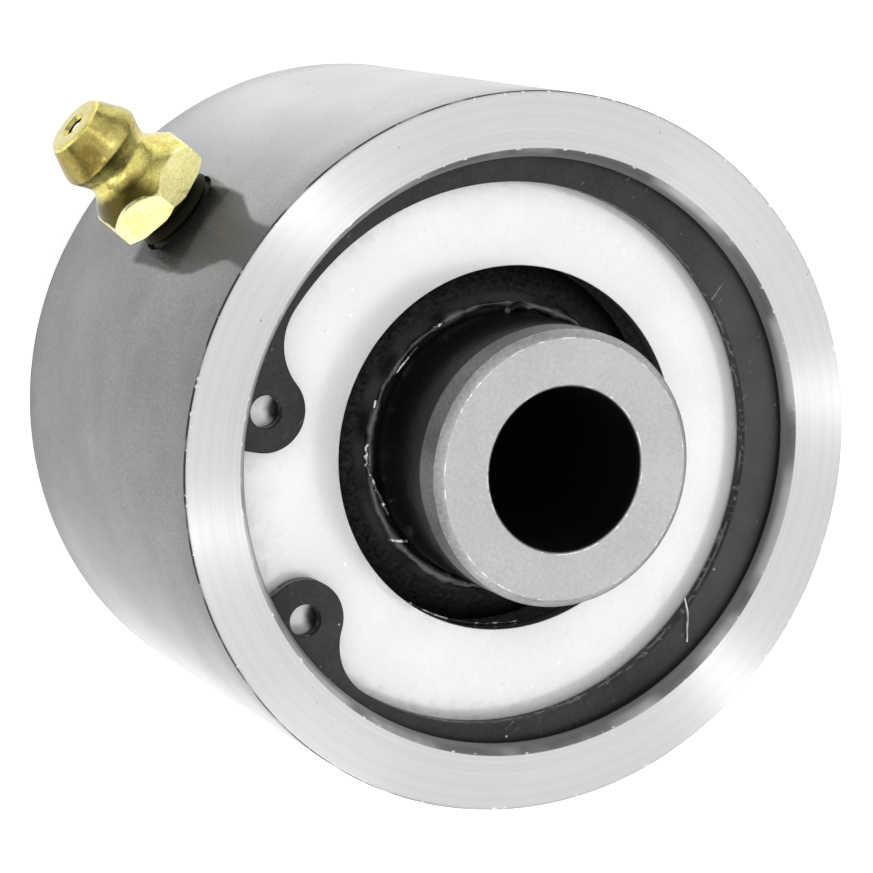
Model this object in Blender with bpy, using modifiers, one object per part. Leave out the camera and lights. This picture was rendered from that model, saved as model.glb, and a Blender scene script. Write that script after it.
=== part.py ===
"""Rebuildable spherical suspension joint: weld-on steel housing, centre ball in two
moulded races, washers, snap ring and a grease nipple.

Frame: origin at the centre of the ball, +Z along the bolt bore towards the snap ring,
the grease nipple points along -Y.
"""
import math

import bmesh
import bpy
from mathutils import Matrix, Vector

MM = 0.001
CLEARANCE = 0.25 * MM          # between pieces that touch on the real joint

# Housing, a turned tube with a lip at the rear and a ring groove at the front.
HOUSING_RADIUS = 25.4 * MM
HOUSING_HALF_LENGTH = 17.5 * MM
HOUSING_BORE = 20.8 * MM       # radius
EDGE_BREAK = 0.25 * MM
MOUTH_CHAMFER = (0.66 * MM, 1.1 * MM)      # radial, axial
REAR_LIP_RADIUS = 18.9 * MM

# Washers and snap ring, measured along +Z from the ball's centre.
WASHER_TOP = 14.3 * MM
WASHER_THICKNESS = 1.5 * MM
WASHER_HOLE = 13.0 * MM        # radius
RING_THICKNESS = 1.2 * MM
RING_GROOVE = 22.3 * MM        # radius
RING_INNER = 19.23 * MM        # radius of the inner circle, which is off centre
RING_OFFSET = 1.06 * MM        # of that circle, towards the gap
RING_GAP_DIRECTION = math.radians(-39.5)
LUG_ANGLE = math.radians(22.85)            # either side of the gap's middle
LUG_HOLE_CENTRE = 19.3 * MM    # from the housing axis
LUG_HOLE = 1.15 * MM           # radius
LUG_RADIUS = 2.85 * MM
LUG_FILLET = 4.2 * MM

# Centre ball with a sleeve end on each side.
BALL_RADIUS = 16.0 * MM
SLEEVE_RADIUS = 9.65 * MM
SLEEVE_HALF_LENGTH = 23.3 * MM
SLEEVE_CHAMFER = 0.58 * MM
BOLT_BORE = 5.67 * MM          # radius
BORE_BREAK = 0.2 * MM

# Moulded races.
RACE_GALLERY = 0.8 * MM        # half of the space between the two races
RACE_MOUTH = 13.2 * MM         # radius where the seat lets the ball out
RACE_FLARE = 14.0 * MM         # radius of the opening behind the washer

# Grease bead round each root of the sleeve.
BEAD_OUTER = 10.7 * MM
BEAD_HEIGHT = 0.7 * MM

# Grease nipple; distances run outwards from the housing axis.
NIPPLE_SEAT = 26.9 * MM        # underside of the hexagon
NIPPLE_SHANK_END = 21.6 * MM
NIPPLE_SHANK = 3.18 * MM       # radius
NIPPLE_ACROSS_FLATS = 7.94 * MM
NIPPLE_TWIST = math.radians(-7.4)
NIPPLE_CHANNEL = 1.45 * MM     # radius
NIPPLE_OUTLET = 0.9 * MM       # radius of the lip that holds the spring
NIPPLE_INLET = 0.8 * MM        # radius of the hole in the tip
# Radius and height above the seat, from the tip down to the hexagon.
NIPPLE_PROFILE = ((2.1, 8.45), (2.35, 8.25), (3.05, 6.75), (3.3, 6.15), (3.3, 5.75),
                  (2.9, 4.95), (2.72, 4.4), (2.78, 3.95), (3.15, 3.4), (3.55, 3.05), (4.75, 1.45))
CHECK_BALL_RADIUS = 1.2 * MM
CHECK_BALL_CENTRE = 33.95 * MM
SPRING_WIRE = 0.2 * MM         # radius
SPRING_RADIUS = 1.05 * MM
SPRING_BOTTOM = 24.5 * MM
SPRING_TURNS = 7

STEPS = 64                     # facets round the large turned pieces
FINE_STEPS = 32                # facets round the nipple


def clear_scene():
    for item in list(bpy.data.objects):
        bpy.data.objects.remove(item, do_unlink=True)


def new_collection(name):
    collection = bpy.data.collections.new(name)
    bpy.context.scene.collection.children.link(collection)
    return collection


def material(name, colour, roughness, metallic):
    made = bpy.data.materials.new(name)
    made.use_nodes = True
    shader = made.node_tree.nodes["Principled BSDF"]
    shader.inputs["Base Color"].default_value = (*colour, 1.0)
    shader.inputs["Roughness"].default_value = roughness
    shader.inputs["Metallic"].default_value = metallic
    made.diffuse_color = (*colour, 1.0)
    return made


def add(collection, name, data, finish=None):
    item = bpy.data.objects.new(name, data)
    if finish:
        data.materials.append(finish)
    collection.objects.link(item)
    return item


def turned(collection, name, profile, finish, steps=STEPS):
    """Closed profile of (radius, z), outer side from top to bottom, turned about Z."""
    count = len(profile)
    mesh = bpy.data.meshes.new(name)
    mesh.from_pydata([(r, 0.0, z) for r, z in profile],
                     [(i, (i + 1) % count) for i in range(count)], [])
    item = add(collection, name, mesh, finish)
    screw = item.modifiers.new("turn", "SCREW")
    screw.axis = "Z"
    screw.steps = steps
    screw.render_steps = steps
    screw.use_merge_vertices = True
    screw.merge_threshold = 0.000001
    screw.use_smooth_shade = True
    return item


def arc(centre, radius, start, end, count):
    """Points from start to end angle, both included."""
    angles = [start + (end - start) * i / count for i in range(count + 1)]
    return [(centre[0] + radius * math.cos(a), centre[1] + radius * math.sin(a))
            for a in angles]


def mirrored(profile):
    """The rear twin of a turned profile, with the same turning direction."""
    return [(r, -z) for r, z in reversed(profile)]


def cutter(collection, name, build):
    """A hidden wire solid whose shape the build function puts into a bmesh."""
    solid = bmesh.new()
    build(solid)
    mesh = bpy.data.meshes.new(name)
    solid.to_mesh(mesh)
    solid.free()
    item = add(collection, name, mesh)
    item.hide_render = True
    item.display_type = "WIRE"
    return item


def boolean(item, tool, operation):
    step = item.modifiers.new(tool.name, "BOOLEAN")
    step.operation = operation
    step.solver = "EXACT"
    step.object = tool


def point_outwards(item):
    """Turns a nipple piece from its own Z axis to the housing's -Y."""
    item.rotation_euler = (math.pi / 2, 0.0, 0.0)


def make_housing(parts, cutters, steel):
    ring_top = WASHER_TOP + CLEARANCE + RING_THICKNESS + CLEARANCE
    lip_top = -WASHER_TOP - CLEARANCE
    chamfer_width, chamfer_depth = MOUTH_CHAMFER
    end = HOUSING_HALF_LENGTH
    profile = [
        (HOUSING_RADIUS - EDGE_BREAK, end),
        (HOUSING_RADIUS, end - EDGE_BREAK),
        (HOUSING_RADIUS, -end + EDGE_BREAK),
        (HOUSING_RADIUS - EDGE_BREAK, -end),
        (REAR_LIP_RADIUS + chamfer_width, -end),
        (REAR_LIP_RADIUS, -end + chamfer_depth),
        (REAR_LIP_RADIUS, lip_top),
        (HOUSING_BORE, lip_top),
        (HOUSING_BORE, WASHER_TOP),
        (RING_GROOVE, WASHER_TOP),
        (RING_GROOVE, ring_top),
        (HOUSING_BORE, ring_top),
        (HOUSING_BORE, end - chamfer_depth),
        (HOUSING_BORE + chamfer_width, end),
    ]
    housing = turned(parts, "housing", profile, steel)

    def tapped_hole(solid):
        bmesh.ops.create_cone(solid, cap_ends=True, segments=FINE_STEPS,
                              radius1=NIPPLE_SHANK + CLEARANCE,
                              radius2=NIPPLE_SHANK + CLEARANCE, depth=12 * MM)

    drill = cutter(cutters, "nipple_hole", tapped_hole)
    drill.location = (0.0, -HOUSING_RADIUS, 0.0)
    point_outwards(drill)
    boolean(housing, drill, "DIFFERENCE")


def make_washers(parts, finish):
    outer = HOUSING_BORE - CLEARANCE
    top, bottom = WASHER_TOP, WASHER_TOP - WASHER_THICKNESS
    profile = [(outer, top), (outer, bottom), (WASHER_HOLE, bottom), (WASHER_HOLE, top)]
    turned(parts, "front_washer", profile, finish)
    turned(parts, "rear_washer", mirrored(profile), finish)


def make_races(parts, finish):
    outer = HOUSING_BORE - CLEARANCE
    top = WASHER_TOP - WASHER_THICKNESS - CLEARANCE
    seat = BALL_RADIUS + CLEARANCE
    low = math.asin(RACE_GALLERY / seat)
    high = math.acos(RACE_MOUTH / seat)
    profile = [(RACE_FLARE, top), (outer, top), (outer, RACE_GALLERY)]
    profile += arc((0.0, 0.0), seat, low, high, 9)
    turned(parts, "front_race", profile, finish)
    turned(parts, "rear_race", mirrored(profile), finish)


def make_ball(parts, steel):
    end = SLEEVE_HALF_LENGTH
    root = math.acos(SLEEVE_RADIUS / BALL_RADIUS)
    outside = [(SLEEVE_RADIUS - SLEEVE_CHAMFER, end), (SLEEVE_RADIUS, end - SLEEVE_CHAMFER)]
    outside += arc((0.0, 0.0), BALL_RADIUS, root, 0.0, 9)
    rear = mirrored(outside)[1:]
    bore = [(BOLT_BORE + BORE_BREAK, -end), (BOLT_BORE, -end + BORE_BREAK),
            (BOLT_BORE, end - BORE_BREAK), (BOLT_BORE + BORE_BREAK, end)]
    turned(parts, "centre_ball", outside + rear + bore, steel)


def make_grease_beads(parts, grease):
    inner = SLEEVE_RADIUS + CLEARANCE
    bottom = math.sqrt(BALL_RADIUS ** 2 - inner ** 2) + CLEARANCE
    profile = [(inner, bottom + BEAD_HEIGHT), (BEAD_OUTER - 0.4 * MM, bottom + BEAD_HEIGHT),
               (BEAD_OUTER, bottom + BEAD_HEIGHT / 2), (BEAD_OUTER - 0.2 * MM, bottom),
               (inner, bottom)]
    turned(parts, "front_grease_bead", profile, grease)
    turned(parts, "rear_grease_bead", mirrored(profile), grease)


def towards(start, end, length):
    """The point at the given distance from start, in the direction of end."""
    return start + (end - start).normalized() * length


def lug_side(hole_angle, gap_side):
    """Outline of one lug, from the outer arc at the gap round to the inner circle.

    gap_side is +1 where the gap lies at the higher angle and -1 where it is lower.
    """
    hole = Vector((math.cos(hole_angle), math.sin(hole_angle))) * LUG_HOLE_CENTRE
    across = Vector((-math.sin(hole_angle), math.cos(hole_angle))) * gap_side
    outer = RING_GROOVE - CLEARANCE
    edge = hole + across * LUG_RADIUS
    reach = math.sqrt(outer ** 2 - LUG_RADIUS ** 2) - LUG_HOLE_CENTRE
    corner = edge + hole.normalized() * reach

    # Fillet centre: outside the lug's circle and inside the ring's inner circle.
    ring = Vector((math.cos(RING_GAP_DIRECTION), math.sin(RING_GAP_DIRECTION))) * RING_OFFSET
    from_hole = LUG_RADIUS + LUG_FILLET
    from_ring = RING_INNER - LUG_FILLET
    gap = (ring - hole).length
    along = (from_hole ** 2 - from_ring ** 2 + gap ** 2) / (2 * gap)
    aside = math.sqrt(from_hole ** 2 - along ** 2)
    line = (ring - hole).normalized()
    normal = Vector((-line.y, line.x)) * gap_side
    fillet = hole + line * along + normal * aside

    # The lug's circle from the gap edge, through the tip, to the fillet.
    touch = towards(hole, fillet, LUG_RADIUS)
    start = math.atan2(across.y, across.x)
    stop = math.atan2((touch - hole).y, (touch - hole).x)
    sweep = (stop - start) * gap_side % math.tau * gap_side
    tip = arc(hole, LUG_RADIUS, start, start + sweep, 14)

    # The fillet from there to the inner circle.
    first = touch - fillet
    last = towards(ring, fillet, RING_INNER) - fillet
    start = math.atan2(first.y, first.x)
    stop = math.atan2(last.y, last.x)
    sweep = -((start - stop) * gap_side % math.tau) * gap_side
    curve = arc(fillet, LUG_FILLET, start, start + sweep, 8)
    return [tuple(corner)] + tip + curve[1:], ring


def make_snap_ring(parts, steel):
    """Outline in the ring's plane: outer arc, first lug, inner circle, second lug."""
    low_lug, ring = lug_side(RING_GAP_DIRECTION - LUG_ANGLE, 1)
    high_lug, _ = lug_side(RING_GAP_DIRECTION + LUG_ANGLE, -1)
    outer = RING_GROOVE - CLEARANCE

    def angle(point, centre=(0.0, 0.0)):
        return math.atan2(point[1] - centre[1], point[0] - centre[0])

    start = angle(high_lug[0])
    sweep = (angle(low_lug[0]) - start) % math.tau
    outside = arc((0.0, 0.0), outer, start, start + sweep, 60)
    begin = angle(low_lug[-1], ring)
    back = (begin - angle(high_lug[-1], ring)) % math.tau
    inside = arc(ring, RING_INNER, begin, begin - back, 48)
    outline = outside + low_lug[1:] + inside[1:-1] + list(reversed(high_lug))[:-1]

    curve = bpy.data.curves.new("snap_ring", "CURVE")
    curve.dimensions = "2D"
    curve.fill_mode = "BOTH"
    curve.extrude = RING_THICKNESS / 2
    loops = [outline]
    for side in (-1, 1):
        a = RING_GAP_DIRECTION + side * LUG_ANGLE
        centre = (LUG_HOLE_CENTRE * math.cos(a), LUG_HOLE_CENTRE * math.sin(a))
        loops.append(arc(centre, LUG_HOLE, 0.0, math.tau, 16)[:-1])
    for loop in loops:
        spline = curve.splines.new("POLY")
        spline.points.add(len(loop) - 1)
        for point, (x, y) in zip(spline.points, loop):
            point.co = (x, y, 0.0, 1.0)
        spline.use_cyclic_u = True
    item = add(parts, "snap_ring", curve, steel)
    item.location.z = WASHER_TOP + CLEARANCE + RING_THICKNESS / 2


def make_nipple(parts, cutters, plating):
    """Turned body with its channel, cut to a hexagon; only the flange is that wide."""
    outside = [(r * MM, NIPPLE_SEAT + h * MM) for r, h in NIPPLE_PROFILE]
    widest = outside[-1][0]
    outside += [(widest, NIPPLE_SEAT), (NIPPLE_SHANK, NIPPLE_SEAT),
                (NIPPLE_SHANK, NIPPLE_SHANK_END + EDGE_BREAK),
                (NIPPLE_SHANK - EDGE_BREAK, NIPPLE_SHANK_END)]
    tip = outside[0][1]
    channel = [(NIPPLE_OUTLET, NIPPLE_SHANK_END),
               (NIPPLE_OUTLET, SPRING_BOTTOM - SPRING_WIRE - CLEARANCE),
               (NIPPLE_CHANNEL, SPRING_BOTTOM - SPRING_WIRE - CLEARANCE),
               (NIPPLE_CHANNEL, tip - 0.75 * MM),
               (NIPPLE_INLET, tip - 0.1 * MM), (NIPPLE_INLET, tip)]
    nipple = turned(parts, "grease_nipple", outside + channel, plating, FINE_STEPS)
    point_outwards(nipple)

    def hexagon(solid):
        corner = NIPPLE_ACROSS_FLATS / math.sqrt(3)
        bmesh.ops.create_cone(solid, cap_ends=True, segments=6, radius1=corner,
                              radius2=corner, depth=20 * MM)
        bmesh.ops.rotate(solid, verts=solid.verts, matrix=twist)

    twist = Matrix.Rotation(NIPPLE_TWIST, 3, "Z")
    stock = cutter(cutters, "nipple_hexagon", hexagon)
    stock.location = (0.0, -(NIPPLE_SHANK_END + tip) / 2, 0.0)
    point_outwards(stock)
    boolean(nipple, stock, "INTERSECT")


def make_check_ball(parts, steel):
    solid = bmesh.new()
    bmesh.ops.create_uvsphere(solid, u_segments=14, v_segments=9, radius=CHECK_BALL_RADIUS)
    mesh = bpy.data.meshes.new("nipple_check_ball")
    solid.to_mesh(mesh)
    solid.free()
    mesh.shade_smooth()
    item = add(parts, "nipple_check_ball", mesh, steel)
    item.location = (0.0, -CHECK_BALL_CENTRE, 0.0)


def make_spring(parts, steel):
    top = CHECK_BALL_CENTRE - CHECK_BALL_RADIUS - CLEARANCE - SPRING_WIRE
    per_turn = 8
    count = SPRING_TURNS * per_turn
    curve = bpy.data.curves.new("nipple_spring", "CURVE")
    curve.dimensions = "3D"
    curve.bevel_depth = SPRING_WIRE
    curve.bevel_resolution = 2
    curve.use_fill_caps = True
    spline = curve.splines.new("POLY")
    spline.points.add(count)
    for i, point in enumerate(spline.points):
        a = math.tau * i / per_turn
        height = SPRING_BOTTOM + (top - SPRING_BOTTOM) * i / count
        point.co = (SPRING_RADIUS * math.cos(a), SPRING_RADIUS * math.sin(a), height, 1.0)
    item = add(parts, "nipple_spring", curve, steel)
    point_outwards(item)


def main():
    clear_scene()
    parts = new_collection("spherical_joint")
    cutters = new_collection("cutters")
    turned_steel = material("turned_steel", (0.56, 0.56, 0.56), 0.38, 1.0)
    zinc_plate = material("zinc_plate", (0.80, 0.80, 0.80), 0.45, 1.0)
    black_oxide = material("black_oxide", (0.05, 0.05, 0.05), 0.45, 0.6)
    urethane = material("black_urethane", (0.012, 0.012, 0.012), 0.35, 0.0)
    grease = material("dark_grease", (0.015, 0.015, 0.015), 0.12, 0.0)
    yellow_zinc = material("yellow_zinc", (0.66, 0.56, 0.20), 0.32, 1.0)
    bright_steel = material("bright_steel", (0.62, 0.62, 0.62), 0.25, 1.0)

    make_housing(parts, cutters, turned_steel)
    make_washers(parts, zinc_plate)
    make_races(parts, urethane)
    make_ball(parts, turned_steel)
    make_grease_beads(parts, grease)
    make_snap_ring(parts, black_oxide)
    make_nipple(parts, cutters, yellow_zinc)
    make_check_ball(parts, bright_steel)
    make_spring(parts, bright_steel)


main()
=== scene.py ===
import math
import bmesh
import bpy
from mathutils import Matrix, Vector


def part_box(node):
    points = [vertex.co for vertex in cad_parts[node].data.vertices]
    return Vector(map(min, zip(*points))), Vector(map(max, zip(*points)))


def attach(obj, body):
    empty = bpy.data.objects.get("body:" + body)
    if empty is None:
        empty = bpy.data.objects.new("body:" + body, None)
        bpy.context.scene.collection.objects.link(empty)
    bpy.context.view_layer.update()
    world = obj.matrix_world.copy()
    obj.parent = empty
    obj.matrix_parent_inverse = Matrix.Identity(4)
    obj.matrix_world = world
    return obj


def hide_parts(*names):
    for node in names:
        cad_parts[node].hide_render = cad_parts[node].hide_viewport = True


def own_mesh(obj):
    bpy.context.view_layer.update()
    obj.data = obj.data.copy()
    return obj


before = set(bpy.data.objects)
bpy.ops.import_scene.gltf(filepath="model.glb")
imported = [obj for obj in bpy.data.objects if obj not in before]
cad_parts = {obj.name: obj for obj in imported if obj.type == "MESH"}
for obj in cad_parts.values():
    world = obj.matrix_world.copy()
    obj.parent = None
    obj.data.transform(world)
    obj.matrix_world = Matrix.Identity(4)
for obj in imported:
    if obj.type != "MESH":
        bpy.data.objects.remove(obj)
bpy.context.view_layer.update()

mm = 0.001

# The snap ring's gap and the turn from it to each plier hole, which the washer's finish shares.
gapAt = -39.5
lugAt = 22.85
lugFromAxis = 19.3 * mm
nippleTwist = math.radians(-7.4)

# ---- shader arithmetic


class Flow:                                    # a shader socket that can stand in a sum
    def __init__(self, finish, socket):
        self.finish = finish
        self.socket = socket

    def maths(self, operation, *others):
        values = {0: self}
        for place, other in enumerate(others, start=1):
            values[place] = other
        return self.finish.node("ShaderNodeMath", {"operation": operation}, values)

    def __add__(self, other):
        return self.maths("ADD", other)

    def __sub__(self, other):
        return self.maths("SUBTRACT", other)

    def __mul__(self, other):
        return self.maths("MULTIPLY", other)

    def __truediv__(self, other):
        return self.maths("DIVIDE", other)

    def __rsub__(self, other):
        return self.finish.node("ShaderNodeMath", {"operation": "SUBTRACT"}, {0: other, 1: self})

    def __pow__(self, other):
        return self.maths("POWER", other)

    __radd__ = __add__
    __rmul__ = __mul__

    def size(self):
        return self.maths("ABSOLUTE")

    def most(self, other):
        return self.maths("MAXIMUM", other)

    def between(self, low, high):              # 0 at low, 1 at high, smooth on the way
        return self.finish.node("ShaderNodeMapRange", {"interpolation_type": "SMOOTHSTEP"},
                                {"Value": self, "From Min": low, "From Max": high})

    def near(self, value, reach):              # 1 at the value, 0 past the reach
        return 1 - (self - value).size().between(reach * 0.4, reach)


class Finish:                                  # a material and the nodes behind it
    def __init__(self, name, **fixed):
        self.material = bpy.data.materials.new(name)
        self.material.use_nodes = True
        self.tree = self.material.node_tree
        self.shader = self.tree.nodes["Principled BSDF"]
        for socket, value in fixed.items():
            self.shader.inputs[socket.replace("_", " ")].default_value = value
        place = self.tree.nodes.new("ShaderNodeTexCoord")
        self.place = Flow(self, place.outputs["Object"])
        parts = self.tree.nodes.new("ShaderNodeSeparateXYZ")
        self.tree.links.new(place.outputs["Object"], parts.inputs[0])
        self.x, self.y, self.z = (Flow(self, out) for out in parts.outputs)

    def node(self, kind, settings, values, output=0):
        made = self.tree.nodes.new(kind)
        for name, value in settings.items():
            setattr(made, name, value)
        for name, value in values.items():
            if isinstance(value, Flow):
                self.tree.links.new(value.socket, made.inputs[name])
            else:
                made.inputs[name].default_value = value
        return Flow(self, made.outputs[output])

    def feed(self, socket, flow):
        self.tree.links.new(flow.socket, self.shader.inputs[socket])

    def noise(self, perMetre, detail=2.0, roughness=0.5, stretch=None, distortion=0.0):
        where = self.place
        if stretch:
            where = self.node("ShaderNodeMapping", {}, {"Vector": where, "Scale": stretch})
        return self.node("ShaderNodeTexNoise", {},
                         {"Vector": where, "Scale": perMetre, "Detail": detail,
                          "Roughness": roughness, "Distortion": distortion})

    def grooves(self, along, perMetre, detail=3.0, roughness=0.7):
        return self.node("ShaderNodeTexNoise", {"noise_dimensions": "1D"},
                         {"W": along * perMetre, "Scale": 1.0, "Detail": detail,
                          "Roughness": roughness})

    def cells(self, perMetre):
        return self.node("ShaderNodeTexVoronoi", {"feature": "F1"},
                         {"Vector": self.place, "Scale": perMetre})

    def blend(self, amount, first, second):    # colours: first where amount is 0
        def full(colour):
            return colour if isinstance(colour, Flow) else (*colour, 1)
        return self.node("ShaderNodeMix", {"data_type": "RGBA"},
                         {0: amount, 6: full(first), 7: full(second)}, 2)

    def mixed(self, amount, first, second):    # the same for numbers
        return first * (1 - amount) + amount * second

    def bump(self, height, depth, under=None):
        values = {"Height": height, "Distance": depth, "Strength": 1.0}
        if under:
            values["Normal"] = under
        return self.node("ShaderNodeBump", {}, values)

    def axisDistance(self):
        return (self.x * self.x + self.y * self.y) ** 0.5


# ---- shaping by hand


def clearSelection():
    if bpy.context.object and bpy.context.object.mode != "OBJECT":
        bpy.ops.object.mode_set(mode="OBJECT")
    bpy.ops.object.select_all(action="DESELECT")


def takeUp(piece):
    clearSelection()
    piece.select_set(True)
    bpy.context.view_layer.objects.active = piece


def apply(piece, kind, **settings):            # adds a modifier and applies it at once
    takeUp(piece)
    step = piece.modifiers.new(kind, kind)
    for name, value in settings.items():
        setattr(step, name, value)
    bpy.ops.object.modifier_apply(modifier=step.name)


def cut(piece, tool, operation="DIFFERENCE"):
    apply(piece, "BOOLEAN", object=tool, operation=operation, solver="EXACT")
    bpy.data.objects.remove(tool, do_unlink=True)


def smooth(piece, degrees=32):
    takeUp(piece)
    bpy.ops.object.shade_smooth_by_angle(angle=math.radians(degrees))


def drawLine(name, points, closed=True):       # a plane shrunk to a point and drawn out
    clearSelection()
    bpy.ops.mesh.primitive_plane_add(size=mm, location=points[0])
    piece = bpy.context.object
    piece.name = name
    piece.data.name = name
    bpy.ops.object.transform_apply(location=True, rotation=True, scale=True)
    bpy.ops.object.mode_set(mode="EDIT")
    bpy.ops.mesh.select_all(action="SELECT")
    bpy.ops.mesh.merge(type="CENTER")
    for last, point in zip(points, points[1:] + points[:1] * closed):
        step = Vector(point) - Vector(last)
        bpy.ops.mesh.extrude_vertices_move(TRANSFORM_OT_translate={"value": step})
    bpy.ops.mesh.select_all(action="SELECT")
    bpy.ops.mesh.remove_doubles(threshold=mm / 1000)
    return piece


def turn(name, profile, steps=160):            # closed line of (radius, height) spun about Z
    piece = drawLine(name, [Vector((radius, 0, height)) for radius, height in profile])
    bpy.ops.mesh.select_all(action="SELECT")
    bpy.ops.mesh.spin(steps=steps, angle=math.tau, center=(0, 0, 0), axis=(0, 0, 1))
    bpy.ops.mesh.select_all(action="SELECT")
    bpy.ops.mesh.remove_doubles(threshold=mm / 1000)
    bpy.ops.mesh.normals_make_consistent(inside=False)
    bpy.ops.object.mode_set(mode="OBJECT")
    return piece


def roundRings(piece, rings):                  # rings of (radius, height, width, segments)
    takeUp(piece)
    bpy.ops.object.mode_set(mode="EDIT")
    bpy.ops.mesh.select_mode(type="EDGE")
    for radius, height, width, segments in rings:
        bpy.ops.mesh.select_all(action="DESELECT")
        shape = bmesh.from_edit_mesh(piece.data)
        for edge in shape.edges:
            edge.select_set(all(abs(math.hypot(v.co.x, v.co.y) - radius) < mm / 100
                                and abs(v.co.z - height) < mm / 100 for v in edge.verts))
        bmesh.update_edit_mesh(piece.data)
        bpy.ops.mesh.bevel(offset=width, segments=segments, affect="EDGES", clamp_overlap=True)
    bpy.ops.mesh.select_mode(type="VERT")
    bpy.ops.object.mode_set(mode="OBJECT")


def arc(centre, radius, start, end, count):
    return [(centre[0] + radius * math.cos(start + (end - start) * i / count),
             centre[1] + radius * math.sin(start + (end - start) * i / count))
            for i in range(count + 1)]


def flipped(profile):
    return [(radius, -height) for radius, height in reversed(profile)]


def pointOut(piece):                           # from its own Z axis to the nipple's direction
    takeUp(piece)
    piece.rotation_euler = (math.pi / 2, 0, 0)
    bpy.ops.object.transform_apply(location=True, rotation=True, scale=True)


def finishPiece(piece, body, slot, finish, *nodes):
    piece.data.materials.clear()
    piece.data.materials.append(finish.material)
    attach(piece, body)
    if nodes:
        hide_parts(*nodes)


# ---- finishes


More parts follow.
